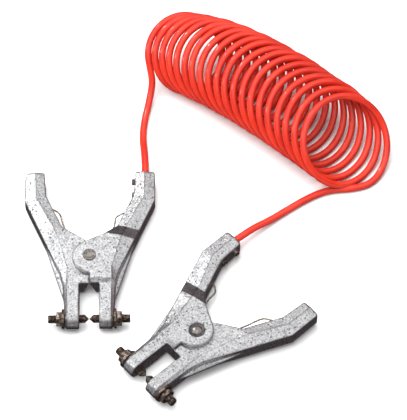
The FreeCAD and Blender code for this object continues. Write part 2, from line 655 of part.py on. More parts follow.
def placed(shape, place):
    """A copy of a shape moved from the clamp's frame to its place."""
    copy = shape.copy()
    copy.Placement = place.multiply(copy.Placement)
    return copy


def build():
    """Every node of the lead, by name."""
    left = clamp_place(LEFT_PIVOT, LEFT_HEIGHT, LEFT_TURN, False)
    right = clamp_place(RIGHT_PIVOT, RIGHT_HEIGHT, RIGHT_TURN, True)
    nodes = {}
    for side, place, relief in (("left", left, LEFT_RELIEF), ("right", right, RIGHT_RELIEF)):
        for name, shape in clamp(relief).items():
            nodes[f"{side}_{name}"] = placed(shape, place)
    nodes["left_cable_lead"] = cable_tube(first_run(left) + LEFT_ROUTE)
    nodes["right_cable_lead"] = cable_tube(first_run(right) + RIGHT_ROUTE)
    nodes["cable_coil"] = cable_coil()
    print("cable leaves the handles at", first_run(left)[0], first_run(right)[0])
    return nodes


def main():
    """Write one STEP file for each node."""
    os.makedirs("parts", exist_ok=True)
    for name, shape in build().items():
        shape.exportStep(f"parts/{name}.step")
        box = shape.BoundBox
        print(f"{name}: {shape.Volume / 1000:.2f} cm3, valid {shape.isValid()}, "
              f"x {box.XMin:.2f} {box.XMax:.2f}, y {box.YMin:.2f} {box.YMax:.2f}, "
              f"z {box.ZMin:.2f} {box.ZMax:.2f}")


main()
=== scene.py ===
"""Looks of a static-grounding lead: two spring hand clamps joined by a coiled cable.

Everything is in metres, in the row's frame.  Sizes given in a clamp's own
frame have their origin on its pivot axis: X across the jaws, Y towards the
handles, Z along the pivot.
"""
import logging
import math
from dataclasses import dataclass
from enum import Enum
from typing import Iterable, Optional, Sequence, Union

import bmesh
import bpy
from mathutils import Matrix, Vector, noise
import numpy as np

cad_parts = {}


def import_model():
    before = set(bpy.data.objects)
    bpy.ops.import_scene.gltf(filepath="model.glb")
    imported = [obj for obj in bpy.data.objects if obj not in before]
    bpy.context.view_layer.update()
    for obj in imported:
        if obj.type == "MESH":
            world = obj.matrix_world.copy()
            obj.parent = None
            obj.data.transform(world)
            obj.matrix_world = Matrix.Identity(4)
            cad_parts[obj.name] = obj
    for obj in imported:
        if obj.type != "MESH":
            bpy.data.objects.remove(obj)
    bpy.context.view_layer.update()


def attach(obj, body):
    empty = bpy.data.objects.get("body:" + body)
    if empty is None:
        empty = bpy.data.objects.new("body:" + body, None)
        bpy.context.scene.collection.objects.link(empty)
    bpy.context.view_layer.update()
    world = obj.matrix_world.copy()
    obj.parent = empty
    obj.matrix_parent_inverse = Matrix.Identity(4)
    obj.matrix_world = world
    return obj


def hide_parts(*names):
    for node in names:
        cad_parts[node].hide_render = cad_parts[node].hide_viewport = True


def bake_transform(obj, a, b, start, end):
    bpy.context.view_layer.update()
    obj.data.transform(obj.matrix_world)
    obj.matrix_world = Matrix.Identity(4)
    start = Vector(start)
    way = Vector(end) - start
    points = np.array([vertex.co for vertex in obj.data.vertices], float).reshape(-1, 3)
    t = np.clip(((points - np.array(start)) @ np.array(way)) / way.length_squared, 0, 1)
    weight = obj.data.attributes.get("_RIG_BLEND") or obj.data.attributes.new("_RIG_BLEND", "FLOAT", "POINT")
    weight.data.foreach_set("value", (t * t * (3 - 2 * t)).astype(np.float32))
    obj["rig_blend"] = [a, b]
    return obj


LOG = logging.getLogger("ground_clamp")
MM = 0.001
Point = tuple[float, float, float]
Colour = tuple[float, float, float]
Operand = Union["Signal", float]
WELD_DISTANCE = 0.002 * MM
FLAT_ANGLE = 0.4


# ------------------------------------------------------------ shader tools
class Signal:
    """A shader socket that takes part in Python expressions.

    Args:
        shader: The shader that the socket belongs to.
        socket: The output socket.
    """

    def __init__(self, shader: "Shader", socket: bpy.types.NodeSocket) -> None:
        self.shader = shader
        self.socket = socket

    def _math(self, operation: str, first: Operand, second: Operand) -> "Signal":
        """Add one Math node and return its value."""
        return self.shader.node("ShaderNodeMath", {"operation": operation}, {0: first, 1: second})

    def __add__(self, other: Operand) -> "Signal":
        """self + other."""
        return self._math("ADD", self, other)

    def __radd__(self, other: float) -> "Signal":
        """other + self."""
        return self._math("ADD", other, self)

    def __sub__(self, other: Operand) -> "Signal":
        """self - other."""
        return self._math("SUBTRACT", self, other)

    def __rsub__(self, other: float) -> "Signal":
        """other - self."""
        return self._math("SUBTRACT", other, self)

    def __mul__(self, other: Operand) -> "Signal":
        """self * other."""
        return self._math("MULTIPLY", self, other)

    def __rmul__(self, other: float) -> "Signal":
        """other * self."""
        return self._math("MULTIPLY", other, self)

    def __truediv__(self, other: Operand) -> "Signal":
        """self / other."""
        return self._math("DIVIDE", self, other)

    def __rtruediv__(self, other: float) -> "Signal":
        """other / self."""
        return self._math("DIVIDE", other, self)

    def __pow__(self, other: Operand) -> "Signal":
        """self to the power other."""
        return self._math("POWER", self, other)

    def steps(self, low: float, high: float) -> "Signal":
        """Map the values from low to high smoothly to 0 to 1.

        Args:
            low: The value that gives 0.
            high: The value that gives 1.

        Returns:
            The mapped value, held between 0 and 1.
        """
        return self.shader.node(
            "ShaderNodeMapRange", {"interpolation_type": "SMOOTHSTEP", "clamp": True},
            {"Value": self, "From Min": low, "From Max": high}, "Result")


class Shader:
    """The node tree of a material or world under construction.

    Args:
        owner: The new material or world.
    """

    def __init__(self, owner: Union[bpy.types.Material, bpy.types.World]) -> None:
        self.owner = owner
        self.owner.use_nodes = True
        self.tree = self.owner.node_tree
        self._place: Optional[Signal] = None

    def feed(self, socket: bpy.types.NodeSocket, value: object) -> None:
        """Link a signal to an input socket, or set a plain value on it.

        Args:
            socket: The input socket.
            value: A signal, a number, or a colour or vector.
        """
        if isinstance(value, Signal):
            self.tree.links.new(value.socket, socket)
        elif isinstance(value, tuple) and socket.type == "RGBA" and len(value) == 3:
            socket.default_value = (*value, 1.0)
        else:
            socket.default_value = value

    def node(self, kind: str, settings: Optional[dict[str, object]] = None,
             inputs: Optional[dict[Union[int, str], object]] = None,
             output: Union[int, str] = 0) -> Signal:
        """Add a node of any type.

        Args:
            kind: The node's type.
            settings: Its properties, set first; "stops" are a ramp's stops.
            inputs: Values or signals for its input sockets.
            output: The output to return.

        Returns:
            The chosen output.
        """
        made = self.tree.nodes.new(kind)
        for name, value in (settings or {}).items():
            if name == "stops":
                self._set_stops(made.color_ramp, value)
            else:
                setattr(made, name, value)
        for key, value in (inputs or {}).items():
            self.feed(made.inputs[key], value)
        return Signal(self, made.outputs[output])

    @staticmethod
    def _set_stops(ramp: bpy.types.ColorRamp, stops: Sequence[tuple[float, Colour]]) -> None:
        """Set a colour ramp's stops from (position, colour) pairs."""
        while len(ramp.elements) < len(stops):
            ramp.elements.new(1.0)
        for element, (position, colour) in zip(ramp.elements, stops):
            element.position = position
            element.color = (*colour, 1.0)

    @property
    def place(self) -> Signal:
        """Position on the object, in metres."""
        if self._place is None:
            self._place = self.node("ShaderNodeTexCoord", output="Object")
        return self._place

    def cloud(self, size: float, detail: float = 2.0, roughness: float = 0.5,
              distortion: float = 0.0, place: Optional[Signal] = None) -> Signal:
        """Soft noise between 0 and 1.

        Args:
            size: Size of its features, in metres.
            detail: Number of finer layers.
            roughness: Strength of the finer layers.
            distortion: How far the pattern is warped.
            place: Where to read it, instead of the object's own position.

        Returns:
            The noise value.
        """
        inputs = {"Vector": place or self.place, "Scale": 1 / size, "Detail": detail,
                  "Roughness": roughness, "Distortion": distortion}
        return self.node("ShaderNodeTexNoise", {}, inputs, "Fac")

    def cells(self, size: float) -> Signal:
        """Distance to the nearest of many scattered spots, in feature sizes."""
        inputs = {"Vector": self.place, "Scale": 1 / size}
        return self.node("ShaderNodeTexVoronoi", {"feature": "F1"}, inputs, "Distance")

    def blend(self, factor: Operand, first: object, second: object) -> Signal:
        """Mix two colours.

        Args:
            factor: Share of the second colour.
            first: The first colour.
            second: The second colour.

        Returns:
            The mixed colour.
        """
        inputs = {0: factor, 6: first, 7: second}
        return self.node("ShaderNodeMix", {"data_type": "RGBA"}, inputs, 2)

    def bump(self, height: Signal, distance: float, strength: float = 1.0) -> Signal:
        """Turn a height into a surface normal."""
        return self.node("ShaderNodeBump", {}, {"Height": height, "Distance": distance,
                                                "Strength": strength}, "Normal")

    def finish(self, target: str = "Principled BSDF", **sockets: object) -> bpy.types.ID:
        """Set the sockets of the tree's own shader node, named with _ for a space.

        Args:
            target: The shader node's name.
            **sockets: Values or signals, by socket name.

        Returns:
            The finished material or world.
        """
        for name, value in sockets.items():
            self.feed(self.tree.nodes[target].inputs[name.replace("_", " ")], value)
        return self.owner


# ---------------------------------------------------------------- finishes
@dataclass(frozen=True)
class SandCast:
    """Sand-cast aluminium, tumbled: fine grain and pits, painted shade in hollows and along ridge creases,
    and edges lightened by rubbed wear and a painted highlight.
    """

    name: str = "cast_aluminium"
    light: Colour = (0.90, 0.90, 0.91)
    dull: Colour = (0.50, 0.50, 0.515)
    # Dark colour of real pits, also used as painted shade in concave hollows.
    pit_and_hollow_shade: Colour = (0.055, 0.053, 0.055)
    # Light edge colour: rubbed wear and a painted highlight on convex edges.
    rubbed_and_highlight: Colour = (0.95, 0.95, 0.96)
    # Painted shade: a dark line along the ridge creases.
    crease_shade: Colour = (0.22, 0.21, 0.22)
    grain: float = 1.7 * MM
    mottle: float = 7.0 * MM
    depth: float = 0.30 * MM
    pit_and_hollow_shade_share: float = 0.8
    crease_shade_share: float = 0.55
    rubbed_and_highlight_share: float = 0.8

    def material(self) -> bpy.types.Material:
        """Build the material."""
        shader = Shader(bpy.data.materials.new(self.name))
        grain = shader.cloud(self.grain, 3.0, 0.6)
        mottle = shader.cloud(self.mottle, 3.0, 0.55)
        pits = 1 - shader.cells(self.grain * 1.7).steps(0.12, 0.36)
        pits = pits * shader.cloud(self.mottle * 0.6).steps(0.40, 0.56)
        point = shader.node("ShaderNodeNewGeometry", output="Pointiness")
        # Painted shade along the ridges, in the crease colour.
        ridge = point.steps(0.504, 0.516)
        # Convex edges lightened: rubbed wear together with a painted highlight.
        edge = point.steps(0.525, 0.56)
        # Painted shade: concave hollows darkened towards the pit colour.
        hollow_shade = 1 - point.steps(0.44, 0.488)
        tone = shader.blend(mottle.steps(0.35, 0.70) * 0.25 + grain.steps(0.42, 0.60) * 0.75,
                            self.light, self.dull)
        tone = shader.blend(pits * self.pit_and_hollow_shade_share, tone, self.pit_and_hollow_shade)
        tone = shader.blend(ridge * self.crease_shade_share, tone, self.crease_shade)
        tone = shader.blend(edge * self.rubbed_and_highlight_share, tone, self.rubbed_and_highlight)
        tone = shader.blend(hollow_shade * self.pit_and_hollow_shade_share, tone, self.pit_and_hollow_shade)
        rough = 0.26 + 0.10 * mottle + 0.12 * grain + 0.2 * pits - 0.08 * edge
        height = grain + shader.cloud(self.grain * 3, 2.0) * 0.8 - pits * 0.8
        return shader.finish(Base_Color=tone, Metallic=1.0, Roughness=rough,
                             Normal=shader.bump(height, self.depth, 0.9))


@dataclass(frozen=True)
class OiledSteel:
    """Dark plated steel with worn, oily patches."""

    name: str = "dark_steel"
    deep: Colour = (0.13, 0.092, 0.072)
    worn: Colour = (0.62, 0.52, 0.45)
    patch: float = 2.5 * MM
    gloss: float = 0.26

    def material(self) -> bpy.types.Material:
        """Build the material."""
        shader = Shader(bpy.data.materials.new(self.name))
        patches = shader.cloud(self.patch, 4.0, 0.6)
        grain = shader.cloud(0.35 * MM, 2.0)
        tone = shader.blend(patches.steps(0.42, 0.68), self.deep, self.worn)
        rough = self.gloss + 0.18 * patches + 0.08 * grain
        return shader.finish(Base_Color=tone, Metallic=1.0, Roughness=rough,
                             Normal=shader.bump(grain, 0.03 * MM, 0.5))


@dataclass(frozen=True)
class DrawnWire:
    """Drawn spring wire with faint lengthwise marks."""

    light: Colour = (0.62, 0.56, 0.47)
    dark: Colour = (0.20, 0.17, 0.14)

    def material(self) -> bpy.types.Material:
        """Build the material."""
        shader = Shader(bpy.data.materials.new("spring_wire"))
        tarnish = shader.cloud(3.0 * MM, 3.0)
        grain = shader.cloud(0.25 * MM, 2.0)
        tone = shader.blend(tarnish.steps(0.38, 0.66), self.light, self.dark)
        return shader.finish(Base_Color=tone, Metallic=1.0, Roughness=0.24 + 0.2 * tarnish,
                             Normal=shader.bump(grain, 0.02 * MM, 0.4))


@dataclass(frozen=True)
class Jacket:
    """Glossy moulded cable jacket with a slight ripple."""

    bright: Colour = (0.66, 0.034, 0.016)
    deep: Colour = (0.46, 0.016, 0.008)

    def material(self) -> bpy.types.Material:
        """Build the material."""
        shader = Shader(bpy.data.materials.new("cable_jacket"))
        drift = shader.cloud(22.0 * MM, 2.0)
        scuff = shader.cloud(1.6 * MM, 4.0, 0.65)
        ripple = shader.cloud(4.5 * MM, 2.0)
        tone = shader.blend(drift.steps(0.3, 0.7) * 0.6 + scuff.steps(0.5, 0.8) * 0.3,
                            self.bright, self.deep)
        return shader.finish(Base_Color=tone, Roughness=0.12 + 0.14 * scuff,
                             Coat_Weight=0.6, Coat_Roughness=0.05,
                             Normal=shader.bump(ripple + 0.3 * scuff, 0.12 * MM, 0.35))


@dataclass(frozen=True)
class Backdrop:
    """Plain pale studio floor."""

    tone: Colour = (0.93, 0.93, 0.93)

    def material(self) -> bpy.types.Material:
        """Build the material."""
        shader = Shader(bpy.data.materials.new("pale_floor"))
        return shader.finish(Base_Color=self.tone, Roughness=0.9)


class Surface(Enum):
    """The finishes that the pieces take."""

    CASTING = SandCast()
    # A darker copy of the casting: painted shade on the ramp band and in the pin's recess.
    FOUNDRY_SKIN = SandCast("painted_shade_casting", (0.26, 0.24, 0.25), (0.14, 0.125, 0.13),
                            rubbed_and_highlight=(0.40, 0.38, 0.39), crease_shade=(0.08, 0.07, 0.075))
    DARK_STEEL = OiledSteel()
    PLATED = OiledSteel("plated_steel", (0.30, 0.27, 0.25), (0.62, 0.59, 0.56), 3.0 * MM, 0.22)
    WIRE = DrawnWire()
    JACKET = Jacket()
    FLOOR = Backdrop()


class Palette:
    """Builds each finish once and hands it out."""

    def __init__(self) -> None:
        self._made: dict[Surface, bpy.types.Material] = {}

    def material(self, surface: Surface) -> bpy.types.Material:
        """The material of a finish, made on first use."""
        if surface not in self._made:
            self._made[surface] = surface.value.material()
        return self._made[surface]

    def paint(self, piece: bpy.types.Object, *surfaces: Surface) -> None:
        """Give a piece its finishes; the first one is its general one.

        Args:
            piece: The object to dress.
            *surfaces: The finishes, in the order of the faces' material numbers.
        """
        piece.data.materials.clear()
        for surface in surfaces:
            piece.data.materials.append(self.material(surface))


# -------------------------------------------------------------- mesh tools
def add_object(name: str, data: bpy.types.ID) -> bpy.types.Object:
    """Link a new object with this data into the scene."""
    made = bpy.data.objects.new(name, data)
    bpy.context.scene.collection.objects.link(made)
    return made


def settle(piece: bpy.types.Object) -> None:
    """Apply an object's modifiers to its mesh.

    Args:
        piece: A mesh object, whose modifiers are removed.
    """
    bpy.context.view_layer.update()
    shown = piece.evaluated_get(bpy.context.evaluated_depsgraph_get())
    mesh = bpy.data.meshes.new_from_object(shown)
    piece.modifiers.clear()
    piece.data = mesh


def closed_copy(node: str, name: str) -> bpy.types.Object:
    """Copy a CAD node's mesh with its split corners joined again.

    Args:
        node: The CAD node's name.
        name: The new piece's name.

    Returns:
        The new object.
    """
    mesh = bpy.data.objects[node].data.copy()
    work = bmesh.new()
    work.from_mesh(mesh)
    bmesh.ops.remove_doubles(work, verts=work.verts, dist=WELD_DISTANCE)
    bmesh.ops.dissolve_limit(work, angle_limit=math.radians(FLAT_ANGLE), verts=work.verts,
                             edges=work.edges)
    work.to_mesh(mesh)
    work.free()
    for layer in list(mesh.attributes):
        if layer.name == "custom_normal":
            mesh.attributes.remove(layer)
    return add_object(name, mesh)


def tube_mesh(points: Iterable[Vector], radius: float, name: str) -> bpy.types.Mesh:
    """Mesh of a smooth round wire through control points.

    Args:
        points: Control points of its line.
        radius: Radius of the wire.
        name: The mesh's name.

    Returns:
        The mesh, with closed ends.
    """
    curve = smooth_curve(points, radius, name, along=6, around=3)
    carrier = add_object(name, curve)
    bpy.context.view_layer.update()
    shown = carrier.evaluated_get(bpy.context.evaluated_depsgraph_get())
    mesh = bpy.data.meshes.new_from_object(shown)
    bpy.data.objects.remove(carrier)
    bpy.data.curves.remove(curve)
    for face in mesh.polygons:
        face.use_smooth = True
    return mesh


def smooth_curve(points: Iterable[Vector], radius: float, name: str, along: int,
                 around: int) -> bpy.types.Curve:
    """Round tube on one open smooth spline.

    Args:
        points: Control points of the spline.
        radius: Radius of the tube.
        name: The curve's name.
        along: Steps between two control points.
        around: Resolution of the section.

    Returns:
        The curve.
    """
    places = list(points)
    curve = bpy.data.curves.new(name, "CURVE")
    curve.dimensions = "3D"
    curve.resolution_u = along
    curve.bevel_depth = radius
    curve.bevel_resolution = around
    curve.use_fill_caps = True
    spline = curve.splines.new("NURBS")
    spline.points.add(len(places) - 1)
    for control, place in zip(spline.points, places):
        control.co = (*place, 1.0)
    spline.order_u = 3
    spline.use_endpoint_u = True
    return curve


# -------------------------------------------------------- the clamp's place
class Half(Enum):
    """The two halves of a clamp."""

    CABLE = "cable"
    PLAIN = "plain"


@dataclass(frozen=True)
class ClampPlace:
    """Where one clamp lies, and how it is turned."""

    side: str
    pivot: tuple[float, float]
    height: float
    turn: float
    turned_over: bool

    @property
    def matrix(self) -> Matrix:
        """From the clamp's own frame to the row's frame."""
        over = Matrix.Rotation(math.pi if self.turned_over else 0.0, 4, "Y")
        spin = Matrix.Rotation(math.radians(self.turn), 4, "Z")
        return Matrix.Translation((*self.pivot, self.height)) @ spin @ over

    def point(self, x: float, y: float, z: float = 0.0) -> Vector:
        """A point of the clamp's own frame, in the row's frame."""
        return self.matrix @ Vector((x, y, z))

    def body(self, half: Half) -> str:
        """Name of the body that a half belongs to."""
        return f"{self.side}_plain_side" if half is Half.PLAIN else FIXED_BODY


FIXED_BODY = "cable_side"
LEFT = ClampPlace("left", (-73.0 * MM, 28.4 * MM), 11.8 * MM, 0.9, False)
RIGHT = ClampPlace("right", (25.8 * MM, -51.5 * MM), 12.4 * MM, -47.6, True)
HALF_SPREAD = 51.5 * MM
HANDLE_REACH = 93.6 * MM
JAW_LENGTH = 61.8 * MM


# ------------------------------------------------------------------- cable
@dataclass
class CoiledCable:
    """The cable from handle to handle, with its coiled stretch.

    Places, radii and gaps without MM are in millimetres and become metres in
    route().  The routes are the solids' own points, but for the one where the
    right-hand solid meets the coil's.  The turns are worked out from the
    coil's places, radii, bearing and lean, and waver a little.
    """

    diameter: float = 6.6 * MM
    left_route: tuple[Point, ...] = (
        (-26.2, 169.5, 4.2), (-24.8, 191.0, 3.8), (-20.4, 210.6, 6.6), (-16.8, 225.6, 18.2))
    right_route: tuple[Point, ...] = (
        (93.2, 77.2, 4.6), (112.4, 91.4, 3.7), (131.0, 104.0, 3.6), (150.0, 112.4, 3.6),
        (170.6, 113.2, 3.6))
    first_run: float = 21.0 * MM
    first_drop: float = 1.6 * MM
    places: tuple[tuple[float, float], ...] = ((11.5, 253.5), (70.5, 235.2), (167.5, 142.8))
    outer_radii: tuple[float, float, float] = (39.6, 48.1, 47.4)
    bearings: tuple[float, float] = (-58.0, -47.0)
    lean: float = 46.0
    turns: float = 19.75
    points_per_turn: int = 14
    floor_gap: float = 0.4
    even_out: float = 0.2
    inset: float = 0.8
    waver: float = 0.4
    lean_waver: float = 0.8
    beats: tuple[float, float, float] = (47.0, 11.0, 31.0)
    length: float = 5.42

    def _along(self, values: Sequence[float], share: float) -> float:
        """Value of a quadratic curve through three controls."""
        start, control, end = values
        return (1 - share) ** 2 * start + 2 * share * (1 - share) * control + share ** 2 * end

    def _turn_point(self, share: float) -> Vector:
        """Control point of the coil at a share of its turns, in metres."""
        turned = math.pi - share * self.turns * 2 * math.pi
        share += self.even_out * share * (1 - share)
        x, y = (self._along([place[axis] for place in self.places], share) for axis in (0, 1))
        thick = self.diameter / MM / 2
        fast, slow, leaning = (share * beat for beat in self.beats)
        waver = self.waver * math.sin(fast) * math.sin(slow + 1.0)
        radius = self._along(self.outer_radii, share) - thick - self.inset + waver
        lean = math.radians(self.lean + self.lean_waver * math.sin(leaning + 2.0))
        bearing = math.radians(self.bearings[0] + share * (self.bearings[1] - self.bearings[0]))
        level = Vector((-math.sin(bearing), math.cos(bearing), 0.0))
        rise = Vector((-math.sin(lean) * math.cos(bearing), -math.sin(lean) * math.sin(bearing),
                       math.cos(lean)))
        height = radius * math.cos(lean) + thick + self.floor_gap
        control_radius = radius / math.cos(math.pi / self.points_per_turn)
        centre = Vector((x, y, height))
        return (centre + control_radius * (math.cos(turned) * level + math.sin(turned) * rise)) * MM

    def _first_run(self, place: ClampPlace) -> list[Vector]:
        """Ends of the cable's first run out of a clamp's handle."""
        settled = place.point(HALF_SPREAD, HANDLE_REACH + self.first_run)
        return [place.point(HALF_SPREAD, HANDLE_REACH), settled - Vector((0, 0, self.first_drop))]

    def route(self) -> list[Vector]:
        """Control points from the left clamp's handle to the right one's."""
        count = round(self.turns * self.points_per_turn)
        route = self._first_run(LEFT)
        route += [Vector(point) * MM for point in self.left_route]
        route += [self._turn_point(index / count) for index in range(count + 1)]
        route += [Vector(point) * MM for point in reversed(self.right_route)]
        route += reversed(self._first_run(RIGHT))
        return route

    def build(self, palette: Palette) -> bpy.types.Object:
        """Args:
            palette: The finishes.

        Returns:
            The cable's curve object.
        """
        route = self.route()
        curve = smooth_curve(route, self.diameter / 2, "coiled_cable", along=6, around=5)
        cable = add_object("coiled_cable", curve)
        palette.paint(cable, Surface.JACKET)
        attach(cable, FIXED_BODY)
        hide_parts("left_cable_lead", "cable_coil", "right_cable_lead")
        return cable


# -------------------------------------------------------------- one clamp
@dataclass
class Casting:
    """One half of a clamp, as a cast piece with soft edges and a rough skin."""

    place: ClampPlace
    half: Half
    voxel: float = 0.55 * MM
    soften: float = 0.5
    soften_passes: int = 3
    skin: float = 0.045 * MM
    wave: float = 0.10 * MM
    skin_size: float = 1.5 * MM
    wave_size: float = 13.0 * MM
    flat_enough: float = 0.8
    bead: float = 0.20 * MM
    bead_reach: float = 0.75 * MM
    ridge: tuple[tuple[float, float], ...] = (
        (51.0, 95.0), (50.0, 64.5), (33.2, 31.3), (29.1, 20.7), (20.4, -12.0), (20.3, -25.2),
        (19.8, -61.8))
    # Lines that bound the ramp band which gets the painted shade.
    ramp_top: tuple[float, float] = (25.5 * MM, 33.0 * MM)
    ramp_foot: tuple[float, float] = (29.1 * MM, 20.7 * MM)
    ramp_fall: float = 0.22
    ramp_flat_enough: float = 0.7
    recess_face: float = 9.6 * MM
    recess_radius: float = 7.2 * MM

    def _ridge_share(self, at: Vector) -> float:
        """How near a point of the clamp's frame is to the half's ridge line, from 0 to 1."""
        here = Vector((abs(at.x), at.y))
        nearest = self.bead_reach
        for start, end in zip(self.ridge, self.ridge[1:]):
            first, last = Vector(start) * MM, Vector(end) * MM
            if min(first.y, last.y) - nearest < here.y < max(first.y, last.y) + nearest:
                along = last - first
                share = max(0.0, min(1.0, (here - first).dot(along) / along.length_squared))
                nearest = min(nearest, (here - first - along * share).length)
        return 1 - nearest / self.bead_reach

    def _roughen(self, mesh: bpy.types.Mesh) -> None:
        """Move each point a little along its normal, as sand and pattern leave a casting."""
        to_clamp = self.place.matrix.inverted()
        turn = to_clamp.to_3x3()
        moved = []
        for vertex in mesh.vertices:
            at = vertex.co
            fine = noise.noise(at / self.skin_size)
            broad = noise.noise(at / self.wave_size)
            lift = self.skin * fine + self.wave * broad
            if abs((turn @ vertex.normal).z) > self.flat_enough:
                lift += self.bead * self._ridge_share(to_clamp @ at)
            moved.append(at + vertex.normal * lift)
        for vertex, at in zip(mesh.vertices, moved):
            vertex.co = at

    def _mark_painted_shade(self, mesh: bpy.types.Mesh) -> None:
        """Give the ramp and the pin's recess the second finish: a darker copy of the casting that paints
        shade there.
        """
        to_clamp = self.place.matrix.inverted()
        turn = to_clamp.to_3x3()
        for face in mesh.polygons:
            at = to_clamp @ face.center
            facing = turn @ face.normal
            top = self.ramp_top[1] - (at.x - self.ramp_top[0]) * self.ramp_fall
            foot = self.ramp_foot[1] - (at.x - self.ramp_foot[0]) * self.ramp_fall
            in_ramp = foot < at.y < top and abs(facing.z) > self.ramp_flat_enough
            in_recess = at.z < -self.recess_face and math.hypot(at.x, at.y) < self.recess_radius
            face.material_index = int(in_ramp or in_recess)

    def build(self, palette: Palette) -> bpy.types.Object:
        """Make the casting from its CAD node.

        Args:
            palette: The finishes.

        Returns:
            The casting.
        """
        node = f"{self.place.side}_{self.half.value}_half"
        piece = closed_copy(node, f"{node}_casting")
        remesh = piece.modifiers.new("skin", "REMESH")
        remesh.mode = "VOXEL"
        remesh.voxel_size = self.voxel
        smooth = piece.modifiers.new("soften", "SMOOTH")
        smooth.factor = self.soften
        smooth.iterations = self.soften_passes
        settle(piece)
        self._roughen(piece.data)
        for face in piece.data.polygons:
            face.use_smooth = True
        # The second finish is the painted shade for the ramp and the recess.
        palette.paint(piece, Surface.CASTING, Surface.FOUNDRY_SKIN)
        if self.half is Half.CABLE:
            self._mark_painted_shade(piece.data)
        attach(piece, self.place.body(self.half))
        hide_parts(node)
        return piece


@dataclass
class ContactScrew:
    """Pointed M8 screw with a real thread."""

    place: ClampPlace
    half: Half
    radius: float = 4.0 * MM
    pitch: float = 1.25 * MM
    thread_depth: float = 0.62 * MM
    tip_gap: float = 0.2 * MM
    tip_length: float = 3.9 * MM
    tip_flat: float = 0.3 * MM
    length: float = 37.1 * MM
    chamfer: float = 0.67 * MM
    groove_share: float = 0.44
    least_radius: float = 0.1 * MM
    around: int = 40
    per_pitch: int = 8

    def _radius_at(self, along: float, turn: float) -> float:
        """Radius of the screw's surface.

        Args:
            along: Distance from the clamp's centre plane.
            turn: Position round the screw, from 0 to 1.

        Returns:
            The radius there.
        """
        phase = (along / self.pitch - turn) % 1.0
        groove = self.thread_depth * max(0.0, 1 - abs(phase - 0.5) / self.groove_share)
        threaded = self.radius - groove
        from_tip = (along - self.tip_gap) / self.tip_length
        cone = self.tip_flat + (self.radius - self.tip_flat) * from_tip
        from_tail = self.radius - self.chamfer + (self.tip_gap + self.length - along)
        return min(threaded, cone, from_tail)

    def _stations(self) -> list[float]:
        """Distances along the screw at which it has a ring of points."""
        step = self.pitch / self.per_pitch
        count = round(self.length / step)
        return [self.tip_gap + self.length * index / count for index in range(count + 1)]

    def build(self, palette: Palette) -> bpy.types.Object:
        """Make the screw.

        Args:
            palette: The finishes.

        Returns:
            The screw.
        """
        sign = 1 if self.half is Half.CABLE else -1
        work = bmesh.new()
        rings = []
        for along in self._stations():
            ring = []
            for index in range(self.around):
                turn = index / self.around
                radius = max(self._radius_at(along, turn), self.least_radius)
                angle = 2 * math.pi * turn
                at = self.place.point(sign * along, -JAW_LENGTH + radius * math.cos(angle),
                                      radius * math.sin(angle))
                ring.append(work.verts.new(at))
            rings.append(ring)
        for ring, following in zip(rings, rings[1:]):
            for index in range(self.around):
                after = (index + 1) % self.around
                work.faces.new((ring[index], ring[after], following[after], following[index]))
        work.faces.new(rings[0])
        work.faces.new(rings[-1])
        bmesh.ops.recalc_face_normals(work, faces=work.faces)
        half = f"{self.place.side}_{self.half.value}_half"
        node = f"{half}_contact_screw"
        mesh = bpy.data.meshes.new(node)
        work.to_mesh(mesh)
        work.free()
        piece = add_object(f"{half}_threaded_screw", mesh)
        palette.paint(piece, Surface.DARK_STEEL)
        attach(piece, f"{half}_screw")
        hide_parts(node)
        return piece


@dataclass
class SoftenedPart:
    """A turned or stamped CAD piece whose sharp edges are broken."""

    node: str
    body: str
    surface: Surface
    slot: str
    edge: float = 0.22 * MM
    sharp: float = 28.0

    def build(self, palette: Palette) -> bpy.types.Object:
        """Make the piece from its CAD node.

        Args:
            palette: The finishes.

        Returns:
            The piece.
        """
        piece = closed_copy(self.node, f"{self.node}_finished")
        bevel = piece.modifiers.new("edge", "BEVEL")
        bevel.width = self.edge
        bevel.segments = 2
        bevel.limit_method = "ANGLE"
        bevel.angle_limit = math.radians(self.sharp)
        bevel.harden_normals = True
        settle(piece)
        for face in piece.data.polygons:
            face.use_smooth = True
        palette.paint(piece, self.surface)
        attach(piece, self.body)
        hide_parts(self.node)
        return piece


